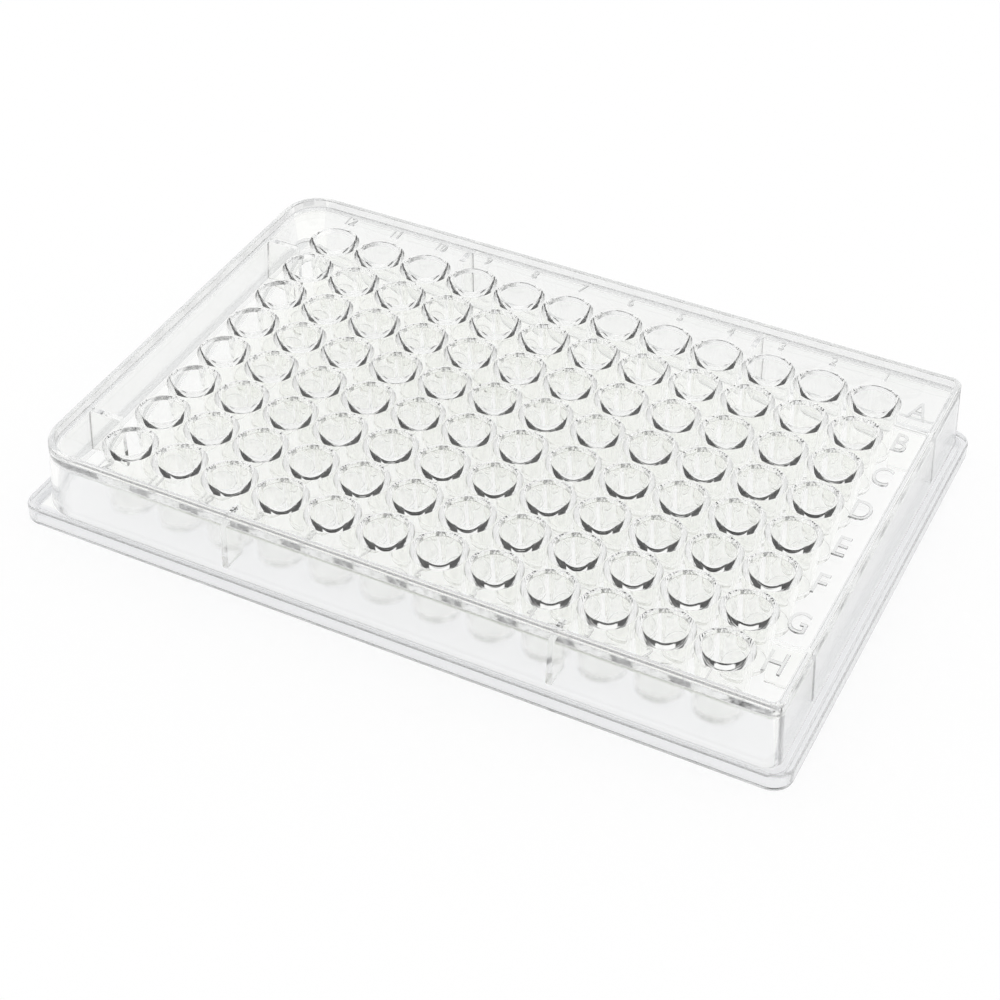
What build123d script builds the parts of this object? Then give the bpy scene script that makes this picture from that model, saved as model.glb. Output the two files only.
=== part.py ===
from build123d import *

import math
import os

# A 96-well flat-bottom microplate with no lid: one clear polystyrene injection moulding.
# Frame: +X along the length, +Z up, origin at the centre of the footprint on the resting plane.
# All sizes are in millimetres and all angles in degrees.

# Footprint and overall height
plate_length = 127.76
plate_width = 85.48
plate_height = 14.2

# Flange round the foot: a thin upright skirt under a narrow ledge
flange_height = 2.8
flange_corner_radius = 3.18
flange_wall = 1.2
flange_ledge_thickness = 1.0
flange_edge_round = 0.45
end_ledge = 1.83
side_ledge = 0.89

# Frame wall that rises from the ledge to the rim, with two rounder corners that key the plate
frame_draft = 3.5
frame_wall = 1.2
plain_corner_radius = 2.7
keyed_corner_radius = 7.5
rim_edge_round = 0.35

# Deck that joins the wells, sunk below the rim
rim_width = 1.0
deck_recess = 1.4
deck_thickness = 1.2

# Wells, each a tapered bore in a thin tube that hangs under the deck
column_count = 12
row_count = 8
well_pitch = 9.0
well_mouth_diameter = 6.86
well_floor_diameter = 6.35
well_mouth_wall = 0.57
well_floor_wall = 0.525
well_floor_thickness = 1.1
tube_foot_clearance = 1.43

# Stiffening ribs under the deck, from the outer wells to the frame wall
rib_thickness = 1.0
rib_pitches_from_middle = 3
rib_foot_clearance = 3.4
rib_well_gap = 0.5

# The frame's plan on the resting plane, and how far the draft has moved it inwards at the rim
frame_length = plate_length - 2 * end_ledge
frame_width = plate_width - 2 * side_ledge
frame_top_inset = plate_height * math.tan(math.radians(frame_draft))

# Heights over the resting plane
deck_top = plate_height - deck_recess
deck_underside = deck_top - deck_thickness
well_floor = tube_foot_clearance + well_floor_thickness

# Tube outside the bore, the middles of the outermost wells, and the ribs' offset from the middle
tube_radius = well_mouth_diameter / 2 + well_mouth_wall
tube_foot_radius = well_floor_diameter / 2 + well_floor_wall
field_half_length = (column_count - 1) * well_pitch / 2
field_half_width = (row_count - 1) * well_pitch / 2
rib_offset = rib_pitches_from_middle * well_pitch


def frame_plan(inset):
    """The frame's plan on the resting plane, moved inwards by inset; its -X corners are the keyed ones."""
    length, width = frame_length - 2 * inset, frame_width - 2 * inset
    keyed, plain = keyed_corner_radius - inset, plain_corner_radius - inset
    with_keyed_corners = RectangleRounded(length, width, keyed)
    with_plain_corners = RectangleRounded(length, width, plain)
    keyed_half = Pos(-length / 4, 0) * Rectangle(length / 2, width)
    return (with_keyed_corners & keyed_half) + (with_plain_corners - keyed_half)


def drafted_block(inset, height):
    """The space inside the frame wall at a given inset, up to a height, drawn in by the draft."""
    return extrude(frame_plan(inset), height, taper=frame_draft)


def flange_block():
    """The solid foot, with its upper edge rounded."""
    block = extrude(RectangleRounded(plate_length, plate_width, flange_corner_radius), flange_height)
    return fillet(block.faces().sort_by(Axis.Z)[-1].edges(), flange_edge_round)


def flange_hollow():
    """The space inside the skirt and under the ledge."""
    plan = RectangleRounded(
        plate_length - 2 * flange_wall,
        plate_width - 2 * flange_wall,
        flange_corner_radius - flange_wall,
    )
    return extrude(plan, flange_height - flange_ledge_thickness)


def frame_block():
    """The solid inside the frame wall's outer face, with the rim's outer edge rounded."""
    block = drafted_block(0, plate_height)
    return fillet(block.faces().sort_by(Axis.Z)[-1].edges(), rim_edge_round)


def recess():
    """The space over the deck, inside the rim."""
    return extrude(Pos(0, 0, deck_top) * frame_plan(frame_top_inset + rim_width), deck_recess)


def wells():
    """The places of the well centres."""
    return GridLocations(well_pitch, well_pitch, column_count, row_count)


def tapered_plug(low, low_radius, high, high_radius):
    """A round plug that tapers from one height to another.

    Its sloping side is a straight Bezier curve, because the surface that one sweeps out meshes with
    far fewer facets than a cone does, and the plate has a hundred wells.
    """
    foot = Line((0, 0, low), (low_radius, 0, low))
    slope = Bezier((low_radius, 0, low), (high_radius, 0, high))
    top = Line((high_radius, 0, high), (0, 0, high))
    middle = Line((0, 0, high), (0, 0, low))
    return revolve(make_face([foot, slope, top, middle]), Axis.Z)


def tube():
    """One well's outside, from its foot up to the deck."""
    return tapered_plug(tube_foot_clearance, tube_foot_radius, deck_underside, tube_radius)


def bore():
    """One well's inside, from its floor to its mouth."""
    return tapered_plug(well_floor, well_floor_diameter / 2, deck_top, well_mouth_diameter / 2)


def ribs():
    """The four pairs of ribs, each running out from a gap beside the outer wells into the frame wall."""
    height = deck_underside - rib_foot_clearance
    middle = rib_foot_clearance + height / 2
    well_edge = tube_radius + rib_well_gap
    pieces = []
    for side in (-1, 1):
        start, end = field_half_width + well_edge, frame_width / 2
        for x in (-rib_offset, rib_offset):
            pieces.append(Pos(x, side * (start + end) / 2, middle) * Box(rib_thickness, end - start, height))
        start, end = field_half_length + well_edge, frame_length / 2
        for y in (-rib_offset, rib_offset):
            pieces.append(Pos(side * (start + end) / 2, y, middle) * Box(end - start, rib_thickness, height))
    within_wall = drafted_block(frame_wall / 2, deck_top)
    return [piece & within_wall for piece in pieces]


def well_plate():
    """The whole moulding."""
    body = flange_block() + frame_block()
    body -= drafted_block(frame_wall, deck_underside)
    body -= flange_hollow()
    body -= recess()
    body += ribs()
    body += [place * tube() for place in wells()]
    body -= [place * bore() for place in wells()]
    return body


if __name__ == "__main__":
    os.makedirs("parts", exist_ok=True)
    plate = well_plate()
    print(len(plate.solids()), "solid(s),", round(plate.volume / 1000, 2), "cm3, box", plate.bounding_box().size)
    export_step(plate.solids()[0], "parts/well_plate.step")
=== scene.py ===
"""Looks of a clear 96-well microplate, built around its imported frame.

The plate is one injection moulding in clear polystyrene, so it is one closed mesh: a flange, a
keyed frame wall, a sunk deck with ninety-six hanging wells, stiffening ribs and raised row
letters and column numbers. Everything is in metres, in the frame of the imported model.
"""

import itertools
import logging
import math
import string
from dataclasses import dataclass, field
from typing import Callable, Iterable, Sequence

import bmesh
import bpy
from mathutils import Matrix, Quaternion, Vector
from mathutils.geometry import delaunay_2d_cdt

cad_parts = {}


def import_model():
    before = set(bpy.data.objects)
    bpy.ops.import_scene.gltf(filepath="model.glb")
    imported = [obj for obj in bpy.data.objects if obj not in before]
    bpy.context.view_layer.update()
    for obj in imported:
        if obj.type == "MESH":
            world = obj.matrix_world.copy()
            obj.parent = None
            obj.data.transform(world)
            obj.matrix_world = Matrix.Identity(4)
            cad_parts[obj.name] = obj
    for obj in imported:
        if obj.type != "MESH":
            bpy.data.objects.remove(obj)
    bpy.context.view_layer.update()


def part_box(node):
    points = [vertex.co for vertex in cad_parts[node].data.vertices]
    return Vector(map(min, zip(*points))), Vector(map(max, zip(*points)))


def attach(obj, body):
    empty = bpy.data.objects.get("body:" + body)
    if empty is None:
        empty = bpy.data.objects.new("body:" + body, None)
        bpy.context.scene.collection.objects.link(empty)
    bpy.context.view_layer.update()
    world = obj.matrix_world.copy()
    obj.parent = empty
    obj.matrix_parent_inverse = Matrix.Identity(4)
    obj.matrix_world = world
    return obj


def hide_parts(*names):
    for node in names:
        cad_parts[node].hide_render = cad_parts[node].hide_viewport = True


log = logging.getLogger("well_plate")

MM = 0.001
INNER_TRIANGLES = 1
SAME_POINT = 1e-6
MIX_FROM, MIX_TO, MIX_RESULT = 6, 7, 2
WHITE = (1.0, 1.0, 1.0, 1.0)

Point2 = tuple[float, float]
Ring = list[bmesh.types.BMVert]
Colour = tuple[float, float, float, float]


def rounded_corner(start: Point2, corner: Point2, end: Point2, steps: int) -> list[Point2]:
    """A quarter-round from start to end, bulging towards the sharp corner that it takes off.

    Args:
        start: Where the round leaves the first side.
        corner: Where the two sides would have met.
        end: Where the round joins the second side.
        steps: How many straight pieces the round has.

    Returns:
        The points of the round, both ends included.
    """
    centre = (start[0] + end[0] - corner[0], start[1] + end[1] - corner[1])
    points = []
    for step in range(steps + 1):
        turn = math.pi / 2 * step / steps
        along, across = math.cos(turn), math.sin(turn)
        points.append(
            tuple(c + along * (s - c) + across * (e - c) for c, s, e in zip(centre, start, end))
        )
    return points


@dataclass(frozen=True)
class Plan:
    """A rounded rectangle about the origin, whose two corners at -X may be rounder."""

    half_length: float
    half_width: float
    keyed_radius: float
    plain_radius: float
    corner_steps: int = 10

    def points(self, inset: float) -> list[Point2]:
        """The outline moved inwards.

        Args:
            inset: How far inwards, in metres.

        Returns:
            The outline's points, anticlockwise from the corner at +X +Y.
        """
        outline = []
        for quarter, (side_x, side_y) in enumerate(((1, 1), (-1, 1), (-1, -1), (1, -1))):
            radius = (self.plain_radius if side_x > 0 else self.keyed_radius) - inset
            centre_x = side_x * (self.half_length - inset - radius)
            centre_y = side_y * (self.half_width - inset - radius)
            for step in range(self.corner_steps + 1):
                turn = math.pi / 2 * (quarter + step / self.corner_steps)
                outline.append(
                    (centre_x + radius * math.cos(turn), centre_y + radius * math.sin(turn))
                )
        return outline


class Moulding:
    """A closed mesh in the making, put together from rings of vertices."""

    def __init__(self) -> None:
        """Starts an empty mesh."""
        self.bm = bmesh.new()

    def ring(self, points: Iterable[Point2], height: float) -> Ring:
        """Adds a ring of vertices at one height."""
        return [self.bm.verts.new((x, y, height)) for x, y in points]

    def strip(self, rings: Sequence[Ring]) -> None:
        """Joins each ring to the next with a band of faces.

        Args:
            rings: Rings of equally many vertices, in order along the surface.
        """
        for lower, upper in zip(rings, rings[1:]):
            for i, vert in enumerate(lower):
                after = (i + 1) % len(lower)
                self.bm.faces.new((vert, lower[after], upper[after], upper[i]))

    def sheet(self, loops: Sequence[Ring], keep: Callable[[Point2], bool]) -> None:
        """Fills a flat region that is bounded by loops of vertices.

        Args:
            loops: The loops, all at one height and none crossing another.
            keep: Says whether a triangle about this point belongs to the region.
        """
        verts = [vert for loop in loops for vert in loop]
        edges = []
        start = 0
        for loop in loops:
            count = len(loop)
            edges += [(start + i, start + (i + 1) % count) for i in range(count)]
            start += count
        flat = [Vector((vert.co.x / MM, vert.co.y / MM)) for vert in verts]
        points, _, faces, sources, _, _ = delaunay_2d_cdt(
            flat, edges, [], INNER_TRIANGLES, SAME_POINT
        )
        for face in faces:
            centre = sum((points[i] for i in face), Vector((0, 0))) / len(face) * MM
            if keep((centre.x, centre.y)):
                self.bm.faces.new([verts[sources[i][0]] for i in face])

    def cap(self, ring: Ring) -> None:
        """Closes a ring with one flat face."""
        self.bm.faces.new(ring)

    def finish(self, name: str) -> bpy.types.Object:
        """Turns the mesh into a smooth-shaded object in the scene.

        Args:
            name: The object's name.

        Returns:
            The object.
        """
        bmesh.ops.recalc_face_normals(self.bm, faces=self.bm.faces)
        mesh = bpy.data.meshes.new(name)
        self.bm.to_mesh(mesh)
        self.bm.free()
        mesh.shade_smooth()
        piece = bpy.data.objects.new(name, mesh)
        bpy.context.scene.collection.objects.link(piece)
        return piece


@dataclass
class Flange:
    """The stepped foot: a thin skirt under a narrow ledge, the footprint that plate nests grip."""

    half_length: float
    half_width: float
    height: float = 2.8 * MM
    corner_radius: float = 3.18 * MM
    wall: float = 1.2 * MM
    ledge_underside: float = 1.8 * MM
    edge_round: float = 0.45 * MM
    foot_round: float = 0.15 * MM
    inner_fillet: float = 0.2 * MM
    foot_steps: int = 2
    edge_steps: int = 5
    fillet_steps: int = 3

    def plan(self) -> Plan:
        """The flange's outline."""
        return Plan(self.half_length, self.half_width, self.corner_radius, self.corner_radius)

    def outer_profile(self) -> list[Point2]:
        """The outside's points.

        Returns:
            The (inset, height) points, from the foot up to the ledge.
        """
        foot, edge, top = self.foot_round, self.edge_round, self.height
        low = rounded_corner((foot, 0), (0, 0), (0, foot), self.foot_steps)
        high = rounded_corner((0, top - edge), (0, top), (edge, top), self.edge_steps)
        return low + high

    def inner_profile(self) -> list[Point2]:
        """The inside's points.

        Returns:
            The (inset, height) points, from the foot up to the underside of the ledge.
        """
        foot, fillet = self.foot_round, self.inner_fillet
        wall, under = self.wall, self.ledge_underside
        low = rounded_corner((wall - foot, 0), (wall, 0), (wall, foot), self.foot_steps)
        high = rounded_corner(
            (wall, under - fillet), (wall, under), (wall + fillet, under), self.fillet_steps
        )
        return low + high


@dataclass
class FrameWall:
    """The drafted wall from the ledge to the rim, keyed by two rounder corners at -X."""

    half_length: float = 62.05 * MM
    half_width: float = 41.85 * MM
    height: float = 14.2 * MM
    draft: float = math.tan(math.radians(3.5))
    wall: float = 1.2 * MM
    keyed_radius: float = 7.5 * MM
    plain_radius: float = 2.7 * MM
    rim_width: float = 1.0 * MM
    rim_outer_round: float = 0.35 * MM
    rim_inner_round: float = 0.15 * MM
    foot_fillet: float = 0.25 * MM
    deck_fillet: float = 0.25 * MM
    underside_fillet: float = 0.5 * MM
    inner_foot_round: float = 0.2 * MM
    fillet_steps: int = 3
    rim_steps: int = 4
    underside_steps: int = 4
    inner_foot_steps: int = 2

    def plan(self) -> Plan:
        """The wall's outline on the resting plane."""
        return Plan(self.half_length, self.half_width, self.keyed_radius, self.plain_radius)

    def inset(self, height: float) -> float:
        """How far the draft has moved the wall inwards at a height."""
        return height * self.draft

    def outer_profile(self, ledge: float, deck: float) -> list[Point2]:
        """The (inset, height) points from the ledge up over the rim and down to the deck.

        Args:
            ledge: The height of the flange's ledge.
            deck: The height of the deck's top.

        Returns:
            The points, in order along the surface.
        """
        fillet, outer, inner = self.foot_fillet, self.rim_outer_round, self.rim_inner_round
        top = self.inset(self.height)
        recess = top + self.rim_width
        foot = rounded_corner(
            (self.inset(ledge) - fillet, ledge),
            (self.inset(ledge), ledge),
            (self.inset(ledge + fillet), ledge + fillet),
            self.fillet_steps,
        )
        rim = rounded_corner(
            (self.inset(self.height - outer), self.height - outer),
            (top, self.height),
            (top + outer, self.height),
            self.rim_steps,
        )
        lip = rounded_corner(
            (recess - inner, self.height),
            (recess, self.height),
            (recess, self.height - inner),
            self.fillet_steps,
        )
        corner = rounded_corner(
            (recess, deck + self.deck_fillet),
            (recess, deck),
            (recess + self.deck_fillet, deck),
            self.fillet_steps,
        )
        return foot + rim + lip + corner

    def inner_profile(self, ledge_underside: float, deck_underside: float) -> list[Point2]:
        """The inside's points.

        Args:
            ledge_underside: The height of the flange's ledge, underneath.
            deck_underside: The height of the deck, underneath.

        Returns:
            The (inset, height) points, from the ledge's underside up to the deck's.
        """
        foot, fillet = self.inner_foot_round, self.underside_fillet
        start = self.wall + self.inset(ledge_underside)
        low = rounded_corner(
            (start - foot, ledge_underside),
            (start, ledge_underside),
            (start + self.inset(foot), ledge_underside + foot),
            self.inner_foot_steps,
        )
        end = self.wall + self.inset(deck_underside)
        high = rounded_corner(
            (end - self.inset(fillet), deck_underside - fillet),
            (end, deck_underside),
            (end + fillet, deck_underside),
            self.underside_steps,
        )
        return low + high


@dataclass
class WellField:
    """The ninety-six wells: a tapered bore and a tube under the deck each, thinner at its foot."""

    columns: int = 12
    rows: int = 8
    pitch: float = 9.0 * MM
    mouth_radius: float = 3.43 * MM
    floor_radius: float = 3.175 * MM
    floor_height: float = 2.53 * MM
    foot_height: float = 1.43 * MM
    tube_radius: float = 4.35 * MM
    foot_radius: float = 3.66 * MM
    mouth_round: float = 0.08 * MM
    floor_fillet: float = 0.06 * MM
    foot_round: float = 0.06 * MM
    tube_fillet: float = 0.06 * MM
    segments: int = 96
    round_steps: int = 1

    def centres(self) -> list[Point2]:
        """The wells' centres, row by row from A, each from column 1."""
        places = itertools.product(range(self.rows), range(self.columns))
        return [(self.column_place(column), self.row_place(row)) for row, column in places]

    def column_place(self, column: int) -> float:
        """The X of a column's centre line, column 0 being the first at +X."""
        return ((self.columns - 1) / 2 - column) * self.pitch

    def row_place(self, row: int) -> float:
        """The Y of a row's centre line, row 0 being the first at +Y."""
        return ((self.rows - 1) / 2 - row) * self.pitch

    def bore_profile(self, deck: float) -> list[Point2]:
        """The bore's points.

        Args:
            deck: The height of the deck's top.

        Returns:
            The (radius, height) points, from the deck down to the well's floor.
        """
        mouth = rounded_corner(
            (self.mouth_radius + self.mouth_round, deck),
            (self.mouth_radius, deck),
            (self.mouth_radius, deck - self.mouth_round),
            self.round_steps,
        )
        floor = rounded_corner(
            (self.floor_radius, self.floor_height + self.floor_fillet),
            (self.floor_radius, self.floor_height),
            (self.floor_radius - self.floor_fillet, self.floor_height),
            self.round_steps,
        )
        return mouth + floor

    def tube_profile(self, deck_underside: float) -> list[Point2]:
        """The tube's points.

        Args:
            deck_underside: The height of the deck, underneath.

        Returns:
            The (radius, height) points, from the deck's underside down to the tube's foot.
        """
        root = rounded_corner(
            (self.tube_radius + self.tube_fillet, deck_underside),
            (self.tube_radius, deck_underside),
            (self.tube_radius, deck_underside - self.tube_fillet),
            self.round_steps,
        )
        foot = rounded_corner(
            (self.foot_radius, self.foot_height + self.foot_round),
            (self.foot_radius, self.foot_height),
            (self.foot_radius - self.foot_round, self.foot_height),
            self.round_steps,
        )
        return root + foot

    def turned(self, moulding: Moulding, centre: Point2, profile: Sequence[Point2]) -> Ring:
        """Turns a profile about a well's axis and closes its far end.

        Args:
            moulding: The mesh that the surface goes into.
            centre: The well's centre.
            profile: The (radius, height) points, from the deck to the closed end.

        Returns:
            The ring where the surface meets the deck.
        """
        x, y = centre
        rings = []
        turns = [2 * math.pi * i / self.segments for i in range(self.segments)]
        for radius, height in profile:
            circle = [(x + radius * math.cos(turn), y + radius * math.sin(turn)) for turn in turns]
            rings.append(moulding.ring(circle, height))
        moulding.strip(rings)
        moulding.cap(rings[-1])
        return rings[0]

    def is_clear(self, place: Point2, radius: float) -> bool:
        """Says whether a place on the deck is outside every well.

        Args:
            place: The place.
            radius: How far from a well's centre is outside it.

        Returns:
            True if it is further than that from every well's centre.
        """
        x, y = place
        column = round((self.columns - 1) / 2 - x / self.pitch)
        row = round((self.rows - 1) / 2 - y / self.pitch)
        column = min(max(column, 0), self.columns - 1)
        row = min(max(row, 0), self.rows - 1)
        return math.hypot(x - self.column_place(column), y - self.row_place(row)) > radius


@dataclass
class Ribs:
    """The four pairs of ribs under the deck, from the outer wells to the frame wall."""

    thickness: float = 1.0 * MM
    foot_height: float = 3.4 * MM
    offset: float = 27.0 * MM
    gap: float = 0.5 * MM
    edge_round: float = 0.15 * MM
    seat: float = 0.4 * MM

    def build(self, wells: WellField, wall: FrameWall, deck_underside: float) -> bpy.types.Object:
        """The ribs as one mesh of eight closed bars, each let into the deck and the wall.

        Args:
            wells: The wells that the ribs stop short of.
            wall: The frame wall that they run into.
            deck_underside: The height of the deck's underside.

        Returns:
            The object, ready to be joined to the plate.
        """
        moulding = Moulding()
        starts = (
            wells.column_place(0) + wells.tube_radius + self.gap,
            wells.row_place(0) + wells.tube_radius + self.gap,
        )
        ends = (wall.half_length - wall.wall + self.seat, wall.half_width - wall.wall + self.seat)
        for along in (0, 1):
            for side in (-1, 1):
                for place in (-self.offset, self.offset):
                    reach = (starts[along], ends[along])
                    self.bar(moulding, along, side, place, reach, wall, deck_underside)
        return moulding.finish("stiffening_ribs")

    def bar(
        self,
        moulding: Moulding,
        along: int,
        side: int,
        place: float,
        reach: tuple[float, float],
        wall: FrameWall,
        deck_underside: float,
    ) -> None:
        """Adds one rib.

        Args:
            moulding: The mesh that it goes into.
            along: 0 if the rib runs along X, 1 if along Y.
            side: -1 or 1, for the side of the plate that it is on.
            place: Where it is on the other axis.
            reach: How far out it begins, and how far out it ends on the resting plane.
            wall: The frame wall, whose draft its end follows.
            deck_underside: The height of the deck's underside.
        """
        start, end = reach
        half, soft = self.thickness / 2, self.edge_round
        low, high = self.foot_height, deck_underside + self.seat
        section = [(-half, high), (-half, low + soft), (-half + soft, low)]
        section += [(half - soft, low), (half, low + soft), (half, high)]
        rings = []
        for inner in (True, False):
            ring = []
            for across, height in section:
                out = side * (start if inner else end - wall.inset(height))
                spot = (out, place + across) if along == 0 else (place + across, out)
                ring.append(moulding.bm.verts.new((*spot, height)))
            rings.append(ring)
        moulding.strip(rings)
        moulding.cap(rings[0])
        moulding.cap(rings[1])


@dataclass
class Legend:
    """The raised row letters and column numbers on the deck's margins."""

    letter_size: float = 4.6 * MM
    number_size: float = 2.3 * MM
    letter_line: float = 56.9 * MM
    number_line: float = 37.8 * MM
    height: float = 0.22 * MM
    width: float = 0.72
    foot_thinning: float = -0.016
    top_thinning: float = -0.036
    curve_steps: int = 4

    def glyphs(self, text: str, size: float, centre: Point2, thinning: float) -> list[list[Point2]]:
        """The closed outlines of a short text.

        Args:
            text: What to write.
            size: The capitals' height.
            centre: The middle of the text.
            thinning: How far outwards the outlines move, negative inwards, at a text size of 1.

        Returns:
            One list of points for each closed outline.
        """
        curve = bpy.data.curves.new("legend", "FONT")
        curve.body = text
        curve.size = 1.0
        curve.resolution_u = self.curve_steps
        curve.offset = thinning
        carrier = bpy.data.objects.new("legend", curve)
        bpy.context.scene.collection.objects.link(carrier)
        curve.fill_mode = "NONE"
        graph = bpy.context.evaluated_depsgraph_get()
        mesh = bpy.data.meshes.new_from_object(carrier.evaluated_get(graph))
        outlines = self.walk(mesh)
        bpy.data.objects.remove(carrier)
        bpy.data.curves.remove(curve)
        bpy.data.meshes.remove(mesh)
        xs = [x for outline in outlines for x, _ in outline]
        ys = [y for outline in outlines for _, y in outline]
        middle = ((min(xs) + max(xs)) / 2, (min(ys) + max(ys)) / 2)
        tall = size / (max(ys) - min(ys) + 2 * (self.foot_thinning - thinning))
        wide = tall * self.width
        return [
            [
                (centre[0] + (x - middle[0]) * wide, centre[1] + (y - middle[1]) * tall)
                for x, y in outline
            ]
            for outline in outlines
        ]

    @staticmethod
    def walk(mesh: bpy.types.Mesh) -> list[list[Point2]]:
        """Follows the edges of a mesh that has no faces.

        Args:
            mesh: The mesh.

        Returns:
            One list of points for each closed outline.
        """
        beside: dict[int, list[int]] = {}
        for edge in mesh.edges:
            a, b = edge.vertices
            beside.setdefault(a, []).append(b)
            beside.setdefault(b, []).append(a)
        outlines = []
        unseen = set(beside)
        while unseen:
            start = min(unseen)
            trail = [start]
            unseen.discard(start)
            while True:
                onward = [v for v in beside[trail[-1]] if v in unseen]
                if not onward:
                    break
                trail.append(onward[0])
                unseen.discard(onward[0])
            outlines.append([(mesh.vertices[v].co.x, mesh.vertices[v].co.y) for v in trail])
        return outlines

    def outlines(self, wells: WellField, thinning: float) -> list[list[Point2]]:
        """All the outlines on the deck, at their foot or, thinner, at their top.

        Args:
            wells: The wells that the letters and numbers stand in line with.
            thinning: How far outwards the outlines move, negative inwards, at a text size of 1.

        Returns:
            One list of points for each closed outline.
        """
        found = []
        for row in range(wells.rows):
            place = (self.letter_line, wells.row_place(row))
            found += self.glyphs(string.ascii_uppercase[row], self.letter_size, place, thinning)
        for column in range(wells.columns):
            for side in (-1, 1):
                place = (wells.column_place(column), side * self.number_line)
                found += self.glyphs(str(column + 1), self.number_size, place, thinning)
        return found


def encloses(outline: Sequence[Point2], place: Point2) -> bool:
    """Says whether a closed outline goes round a place.

    Args:
        outline: The outline's points, in order.
        place: The place.

    Returns:
        True if it does.
    """
    inside = False
    x, y = place
    for (ax, ay), (bx, by) in zip(outline, list(outline[1:]) + [outline[0]]):
        if (ay > y) != (by > y) and x < ax + (y - ay) * (bx - ax) / (by - ay):
            inside = not inside
    return inside


def settle(piece: bpy.types.Object) -> None:
    """Makes what a piece's modifiers show its own mesh.

    Args:
        piece: The piece, which keeps no modifier.
    """
    graph = bpy.context.evaluated_depsgraph_get()
    mesh = bpy.data.meshes.new_from_object(piece.evaluated_get(graph))
    piece.modifiers.clear()
    piece.data = mesh


@dataclass
class WellPlate:
    """The whole moulding."""

    flange: Flange
    wall: FrameWall = field(default_factory=FrameWall)
    wells: WellField = field(default_factory=WellField)
    ribs: Ribs = field(default_factory=Ribs)
    legend: Legend = field(default_factory=Legend)
    deck_top: float = 12.8 * MM
    deck_underside: float = 11.6 * MM
    sharp_edge: float = math.radians(30)
    flat_weight: int = 100

    def build(self) -> bpy.types.Object:
        """Makes the plate.

        Returns:
            The plate as one closed mesh.
        """
        moulding = Moulding()
        outside = self.loops(moulding, self.flange.plan(), self.flange.outer_profile())
        outside += self.loops(
            moulding, self.wall.plan(), self.wall.outer_profile(self.flange.height, self.deck_top)
        )
        inside = self.loops(moulding, self.flange.plan(), self.flange.inner_profile())
        inside += self.loops(
            moulding,
            self.wall.plan(),
            self.wall.inner_profile(self.flange.ledge_underside, self.deck_underside),
        )
        moulding.strip(outside)
        moulding.strip(inside)
        moulding.strip([outside[0], inside[0]])
        self.deck(moulding, outside[-1], inside[-1])
        plate = moulding.finish("clear_well_plate")
        self.add_ribs(plate)
        self.shade(plate)
        return plate

    def loops(self, moulding: Moulding, plan: Plan, profile: Sequence[Point2]) -> list[Ring]:
        """Adds a ring round the plate for each (inset, height) point of a profile."""
        return [moulding.ring(plan.points(inset), height) for inset, height in profile]

    def deck(self, moulding: Moulding, top_edge: Ring, under_edge: Ring) -> None:
        """Adds the wells and fills the deck between them, on both faces.

        Args:
            moulding: The mesh in the making.
            top_edge: The ring where the recess meets the deck's top.
            under_edge: The ring where the wall meets the deck's underside.
        """
        bore = self.wells.bore_profile(self.deck_top)
        tube = self.wells.tube_profile(self.deck_underside)
        mouths = [self.wells.turned(moulding, centre, bore) for centre in self.wells.centres()]
        roots = [self.wells.turned(moulding, centre, tube) for centre in self.wells.centres()]
        outlines = self.legend.outlines(self.wells, self.legend.foot_thinning)
        tops = self.legend.outlines(self.wells, self.legend.top_thinning)
        glyph_feet = [moulding.ring(outline, self.deck_top) for outline in outlines]
        glyph_tops = [
            moulding.ring(outline, self.deck_top + self.legend.height) for outline in tops
        ]
        for foot, top in zip(glyph_feet, glyph_tops):
            moulding.strip([foot, top])

        def on_glyph(place: Point2, shapes: Sequence[Sequence[Point2]]) -> bool:
            """True if a place lies on a letter or number."""
            return sum(encloses(shape, place) for shape in shapes) % 2 == 1

        mouth_edge, root_edge = bore[0][0], tube[0][0]
        edge = math.cos(math.pi / self.wells.segments)
        moulding.sheet(
            [top_edge] + mouths + glyph_feet,
            lambda place: self.wells.is_clear(place, mouth_edge * edge)
            and not on_glyph(place, outlines),
        )
        moulding.sheet(glyph_tops, lambda place: on_glyph(place, tops))
        moulding.sheet(
            [under_edge] + roots, lambda place: self.wells.is_clear(place, root_edge * edge)
        )

    def add_ribs(self, plate: bpy.types.Object) -> None:
        """Joins the ribs to the plate's mesh.

        Args:
            plate: The plate without its ribs.
        """
        ribs = self.ribs.build(self.wells, self.wall, self.deck_underside)
        join = plate.modifiers.new("ribs", "BOOLEAN")
        join.operation = "UNION"
        join.solver = "MANIFOLD"
        join.object = ribs
        settle(plate)
        bpy.data.objects.remove(ribs)

    def shade(self, plate: bpy.types.Object) -> None:
        """Shades the rounds smooth and keeps the flats flat up to their edges.

        Args:
            plate: The plate.
        """
        plate.data.shade_smooth()
        plate.data.set_sharp_from_angle(angle=self.sharp_edge)
        flats = plate.modifiers.new("flats", "WEIGHTED_NORMAL")
        flats.keep_sharp = True
        flats.weight = self.flat_weight
        settle(plate)


Input = "Value | bpy.types.NodeSocket | float | tuple[float, ...]"


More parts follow.
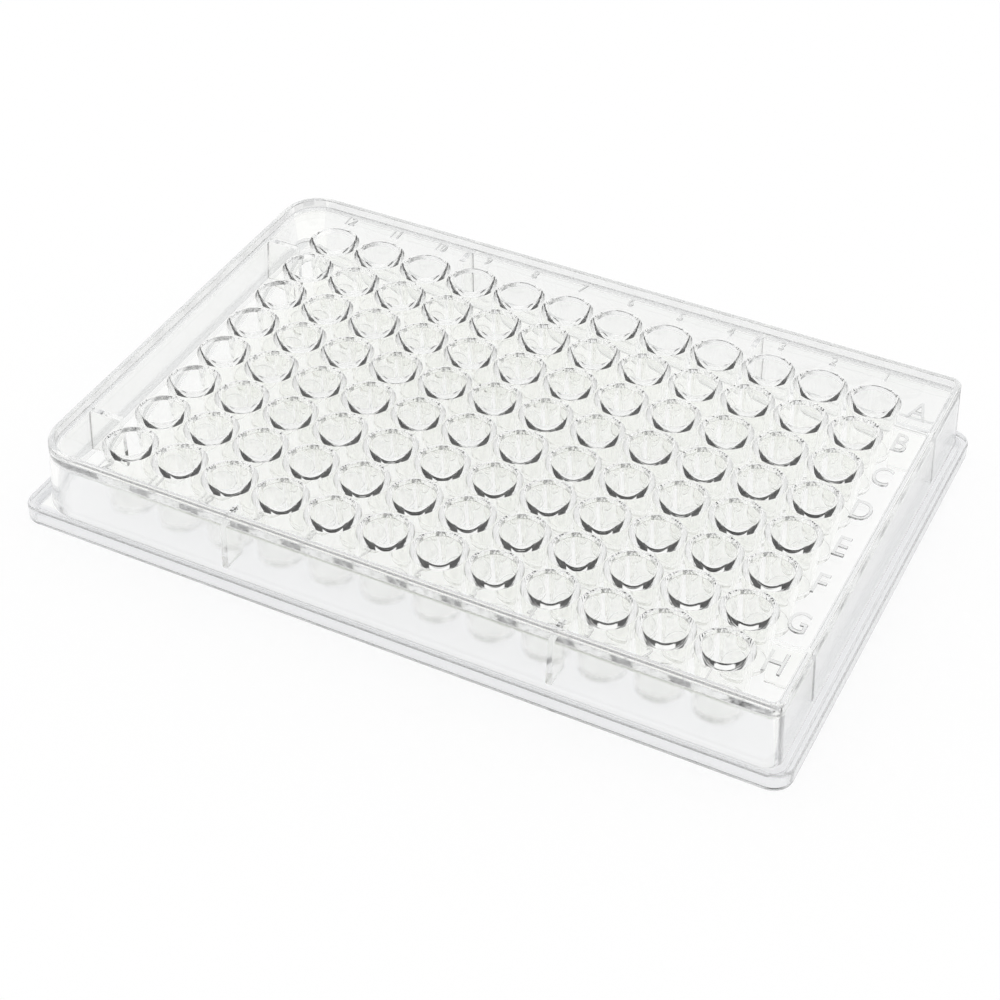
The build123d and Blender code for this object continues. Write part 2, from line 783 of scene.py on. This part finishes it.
class Shade:
    """The node tree of a material or of the world."""

    def __init__(self, tree: bpy.types.NodeTree) -> None:
        """Starts from an empty tree."""
        self.tree = tree
        tree.nodes.clear()

    def node(
        self,
        kind: str,
        settings: dict[str, object] | None = None,
        sockets: dict[str | int, Input] | None = None,
    ) -> bpy.types.Node:
        """Adds a node.

        Args:
            kind: The node's type.
            settings: Its properties, which are set first.
            sockets: What goes into its sockets: numbers, or the sockets that feed them.

        Returns:
            The new node.
        """
        node = self.tree.nodes.new(kind)
        for name, setting in (settings or {}).items():
            setattr(node, name, setting)
        for key, given in (sockets or {}).items():
            source = given.socket if isinstance(given, Value) else given
            if isinstance(source, bpy.types.NodeSocket):
                self.tree.links.new(source, node.inputs[key])
            else:
                node.inputs[key].default_value = source
        return node

    def value(
        self,
        kind: str,
        output: str | int = 0,
        settings: dict[str, object] | None = None,
        sockets: dict[str | int, Input] | None = None,
    ) -> "Value":
        """Adds a node and wraps one of its outputs for shader maths.

        Args:
            kind: The node's type.
            output: Which of its outputs to wrap.
            settings: Its properties, which are set first.
            sockets: What goes into its sockets.

        Returns:
            The output, wrapped.
        """
        return Value(self, self.node(kind, settings, sockets).outputs[output])


@dataclass(frozen=True)
class Value:
    """A number that varies over a surface, for writing shader maths as expressions."""

    shade: Shade
    socket: bpy.types.NodeSocket

    def math(self, operation: str, *others: "Value | float") -> "Value":
        """The result of a Math node on this value and the others."""
        return join_maths(self.shade, operation, (self, *others))

    def __add__(self, other: "Value | float") -> "Value":
        """This plus other."""
        return self.math("ADD", other)

    __radd__ = __add__

    def __mul__(self, other: "Value | float") -> "Value":
        """This times other."""
        return self.math("MULTIPLY", other)

    __rmul__ = __mul__

    def __sub__(self, other: "Value | float") -> "Value":
        """This minus other."""
        return self.math("SUBTRACT", other)

    def __rsub__(self, other: "Value | float") -> "Value":
        """Other minus this."""
        return join_maths(self.shade, "SUBTRACT", (other, self))

    def above(self, low: float, high: float) -> "Value":
        """A smooth step.

        Args:
            low: Where it leaves 0.
            high: Where it reaches 1.

        Returns:
            The step's value.
        """
        return self.shade.value(
            "ShaderNodeMapRange",
            settings={"interpolation_type": "SMOOTHSTEP"},
            sockets={"Value": self, "From Min": low, "From Max": high},
        )


def join_maths(shade: Shade, operation: str, terms: Sequence[Value | float]) -> Value:
    """Adds a Math node.

    Args:
        shade: The tree that it goes into.
        operation: What it does.
        terms: What goes into its sockets, in order.

    Returns:
        Its result.
    """
    return shade.value(
        "ShaderNodeMath", settings={"operation": operation}, sockets=dict(enumerate(terms))
    )


@dataclass(frozen=True)
class ClearPolystyrene:
    """Clear injection-moulded polystyrene: glossy, with faint flow lines and fine scuffs."""

    colour: Colour = (0.994, 0.996, 0.986, 1.0)
    streak_colour: Colour = (0.98, 0.984, 0.97, 1.0)
    shadow_colour: Colour = (0.965, 0.968, 0.972, 1.0)
    ior: float = 1.59
    streaks_per_metre: float = 160.0
    streak_stretch: tuple[float, float, float] = (0.3, 1.0, 1.0)
    streak_detail: float = 2.0
    streak_step: tuple[float, float] = (0.45, 0.7)
    waves_per_metre: float = 90.0
    wave_depth: float = 0.012 * MM
    scuff_roughness: float = 0.02
    scuff_step: tuple[float, float] = (0.62, 0.7)
    satin_roughness: float = 0.18
    # Painted shade: a grey on the frame walls and flange that stands in for the shadowed floor seen
    # through them.
    painted_wall_shade_colour: Colour = (0.885, 0.89, 0.9, 1.0)
    satin_and_painted_shade_from: tuple[float, float] = (61.1 * MM, 40.9 * MM)
    satin_and_painted_shade_below: float = 13.7 * MM
    letter_colour: Colour = (0.8, 0.805, 0.805, 1.0)
    letter_roughness: float = 0.25
    letters_within: tuple[float, float] = (60.0 * MM, 39.8 * MM)
    letters_above: float = 12.82 * MM

    def material(self) -> bpy.types.Material:
        """Makes the material.

        Returns:
            The material.
        """
        material = bpy.data.materials.new("clear_polystyrene")
        material.use_nodes = True
        shade = Shade(material.node_tree)
        place = shade.node("ShaderNodeTexCoord").outputs["Object"]
        axes = shade.node("ShaderNodeSeparateXYZ", sockets={0: place})
        along, across, height = (Value(shade, axis) for axis in axes.outputs)
        flow = self.flow(shade, place)
        satin_and_painted_shade = self.satin_and_painted_shade(along, across, height)
        letters = self.letters(along, across, height)
        plastic = shade.node(
            "ShaderNodeBsdfPrincipled",
            sockets={
                "Base Color": self.tint(shade, flow, satin_and_painted_shade, letters),
                "Roughness": self.scuff_roughness * flow.above(*self.scuff_step)
                + self.satin_roughness * satin_and_painted_shade
                + self.letter_roughness * letters,
                "IOR": self.ior,
                "Transmission Weight": 1.0,
                "Normal": self.waves(shade, place),
            },
        )
        path = shade.node("ShaderNodeLightPath")
        lamp_ray = Value(shade, path.outputs["Is Shadow Ray"])
        diffuse_ray = Value(shade, path.outputs["Is Diffuse Ray"])
        let_through = shade.node("ShaderNodeBsdfTransparent", sockets={"Color": self.shadow_colour})
        surface = shade.node(
            "ShaderNodeMixShader",
            sockets={
                0: lamp_ray.math("MAXIMUM", diffuse_ray),
                1: plastic.outputs[0],
                2: let_through.outputs[0],
            },
        )
        shade.node("ShaderNodeOutputMaterial", sockets={"Surface": surface.outputs[0]})
        return material

    def satin_and_painted_shade(self, along: Value, across: Value, height: Value) -> Value:
        """The satin part of the frame, which is also where painted shade greys the colour.

        Args:
            along: The place along the plate.
            across: The place across the plate.
            height: The height over the resting plane.

        Returns:
            1 on the frame's outside and the flange, 0 on the polished rest.
        """
        long_way, wide_way = self.satin_and_painted_shade_from
        ends = along.math("ABSOLUTE").math("GREATER_THAN", long_way)
        sides = across.math("ABSOLUTE").math("GREATER_THAN", wide_way)
        return ends.math("MAXIMUM", sides) * height.math("LESS_THAN", self.satin_and_painted_shade_below)

    def letters(self, along: Value, across: Value, height: Value) -> Value:
        """The raised letters and numbers, which the mould's etching left matt.

        Args:
            along: The place along the plate.
            across: The place across the plate.
            height: The height over the resting plane.

        Returns:
            1 on the letters and numbers, 0 elsewhere.
        """
        long_way, wide_way = self.letters_within
        inside = along.math("ABSOLUTE").math("LESS_THAN", long_way)
        inside = inside * across.math("ABSOLUTE").math("LESS_THAN", wide_way)
        return inside * height.math("GREATER_THAN", self.letters_above)

    def flow(self, shade: Shade, place: bpy.types.NodeSocket) -> Value:
        """The flow lines of the melt, drawn out along the plate.

        Args:
            shade: The material's nodes.
            place: The place on the plate.

        Returns:
            A noise that peaks along the lines.
        """
        stretched = shade.node(
            "ShaderNodeMapping", sockets={"Vector": place, "Scale": self.streak_stretch}
        )
        return shade.value(
            "ShaderNodeTexNoise",
            "Fac",
            sockets={
                "Vector": stretched.outputs[0],
                "Scale": self.streaks_per_metre,
                "Detail": self.streak_detail,
            },
        )

    def tint(
        self, shade: Shade, flow: Value, satin_and_painted_shade: Value, letters: Value
    ) -> bpy.types.NodeSocket:
        """The colour: a little deeper along the flow lines and on the letters, and grey on the
        frame as painted shade.

        Args:
            shade: The material's nodes.
            flow: The flow lines.
            satin_and_painted_shade: Where the frame is satin and its colour is painted shade.
            letters: Where the letters and numbers are.

        Returns:
            The socket that gives the colour.
        """
        colour: bpy.types.NodeSocket | Colour = self.colour
        layers = (
            (flow.above(*self.streak_step), self.streak_colour),
            # The frame's grey layer is painted shade, not a colour of the satin finish.
            (satin_and_painted_shade, self.painted_wall_shade_colour),
            (letters, self.letter_colour),
        )
        for mask, layer in layers:
            mixed = shade.node(
                "ShaderNodeMix",
                settings={"data_type": "RGBA"},
                sockets={0: mask, MIX_FROM: colour, MIX_TO: layer},
            )
            colour = mixed.outputs[MIX_RESULT]
        return colour

    def waves(self, shade: Shade, place: bpy.types.NodeSocket) -> bpy.types.NodeSocket:
        """The very slight unevenness that the mould left.

        Args:
            shade: The material's nodes.
            place: The place on the plate.

        Returns:
            The socket that gives the surface's normal.
        """
        swell = shade.value(
            "ShaderNodeTexNoise",
            "Fac",
            sockets={"Vector": place, "Scale": self.waves_per_metre, "Detail": 0.0},
        )
        bump = shade.node(
            "ShaderNodeBump",
            sockets={"Strength": 1.0, "Distance": self.wave_depth, "Height": swell},
        )
        return bump.outputs[0]


@dataclass
class Studio:
    """The pale floor, the white tent round the plate, the soft light overhead and the camera."""

    azimuth: float = math.radians(26.16)
    elevation: float = math.radians(40.48)
    distance: float = 329.37 * MM
    roll: float = math.radians(0.66)
    target: tuple[float, float, float] = (4.62 * MM, -11.82 * MM, 7.0 * MM)
    lens: float = 76.95
    sensor: float = 36.0
    nearest: float = 0.01
    opening_rise: float = math.radians(48)
    opening_edge: float = 0.4
    opening_core: float = 0.45
    opening_dark: float = 1.0
    overhead: float = 1.95
    overhead_height: float = 0.5
    overhead_spread: float = math.radians(120)
    floor_half: float = 4.0
    floor_drop: float = 0.02 * MM
    glow_share: float = 0.74
    path_length: int = 40
    floor_bounces: int = 0

    def towards(self, rise: float) -> Vector:
        """The direction from the plate on the camera's side, at that rise over the floor."""
        turn, level = self.azimuth, math.cos(rise)
        return Vector((math.sin(turn) * level, -math.cos(turn) * level, math.sin(rise)))

    def camera(self) -> None:
        """Adds the camera and makes it the scene's."""
        lens = bpy.data.cameras.new("camera")
        lens.lens = self.lens
        lens.sensor_width = self.sensor
        lens.clip_start = self.nearest
        back = self.towards(self.elevation)
        camera = bpy.data.objects.new("camera", lens)
        camera.location = Vector(self.target) + back * self.distance
        camera.rotation_mode = "QUATERNION"
        level = back.to_track_quat("Z", "Y")
        camera.rotation_quaternion = level @ Quaternion((0, 0, 1), self.roll)
        bpy.context.scene.collection.objects.link(camera)
        bpy.context.scene.camera = camera

    def floor(self) -> None:
        """Adds the floor, just clear of the flange's foot, in paper that is white to the eye."""
        mesh = bpy.data.meshes.new("floor")
        half = self.floor_half
        corners = [(-half, -half, 0), (half, -half, 0), (half, half, 0), (-half, half, 0)]
        mesh.from_pydata(corners, [], [(0, 1, 2, 3)])
        floor = bpy.data.objects.new("floor", mesh)
        floor.location.z = -self.floor_drop
        bpy.context.scene.collection.objects.link(floor)
        mesh.materials.append(self.paper())

    def paper(self) -> bpy.types.Material:
        """Makes the floor's paper.

        Returns:
            The material, which glows to the camera and in the plastic but still takes a shadow.
        """
        material = bpy.data.materials.new("floor_paper")
        material.use_nodes = True
        shade = Shade(material.node_tree)
        lit = shade.node("ShaderNodeBsdfDiffuse", sockets={"Color": WHITE})
        glow = shade.node("ShaderNodeEmission", sockets={"Color": WHITE, "Strength": 1.0})
        path = shade.node("ShaderNodeLightPath")
        seen = Value(shade, path.outputs["Is Camera Ray"])
        for ray in ("Is Transmission Ray", "Is Glossy Ray"):
            seen = seen.math("MAXIMUM", Value(shade, path.outputs[ray]))
        surface = shade.node(
            "ShaderNodeMixShader",
            sockets={0: self.glow_share * seen, 1: lit.outputs[0], 2: glow.outputs[0]},
        )
        shade.node("ShaderNodeOutputMaterial", sockets={"Surface": surface.outputs[0]})
        return material

    def tent(self) -> None:
        """Puts a white tent round the plate, with a dark opening round the camera."""
        world = bpy.data.worlds.new("room")
        world.use_nodes = True
        shade = Shade(world.node_tree)
        heading = shade.node("ShaderNodeTexCoord")
        opening = shade.value(
            "ShaderNodeVectorMath",
            "Value",
            settings={"operation": "DOT_PRODUCT"},
            sockets={0: heading.outputs["Generated"], 1: self.towards(self.opening_rise)},
        )
        white = 1 - self.opening_dark * opening.above(self.opening_edge, self.opening_core)
        room = shade.node("ShaderNodeBackground", sockets={"Color": WHITE, "Strength": white})
        shade.node("ShaderNodeOutputWorld", sockets={"Surface": room.outputs[0]})
        bpy.context.scene.world = world

    def softbox(self) -> None:
        """Adds the overhead light that brings the floor up to its own white."""
        light = bpy.data.lights.new("softbox", "SUN")
        light.energy = self.overhead
        light.angle = self.overhead_spread
        lamp = bpy.data.objects.new("softbox", light)
        lamp.location.z = self.overhead_height
        lamp.visible_glossy = False
        lamp.visible_transmission = False
        bpy.context.scene.collection.objects.link(lamp)

    def light_paths(self) -> None:
        """Lets light bounce on inside the clear plastic, which turns black where it is cut off."""
        cycles = bpy.context.scene.cycles
        cycles.max_bounces = self.path_length
        cycles.diffuse_bounces = self.floor_bounces
        cycles.transmission_bounces = self.path_length
        cycles.glossy_bounces = self.path_length


def main() -> None:
    """Builds the plate and its studio."""
    logging.basicConfig(level=logging.INFO, format="%(name)s: %(message)s")
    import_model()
    _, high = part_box("well_plate")
    plate = WellPlate(Flange(high.x, high.y)).build()
    plate.data.materials.clear()
    plate.data.materials.append(ClearPolystyrene().material())
    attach(plate, "root")
    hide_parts("well_plate")
    log.info("%s: %d faces", plate.name, len(plate.data.polygons))
    studio = Studio()
    studio.camera()
    studio.floor()
    studio.tent()
    studio.softbox()
    studio.light_paths()
    bpy.context.scene.view_settings.view_transform = "Standard"


if __name__ == "__main__":
    main()
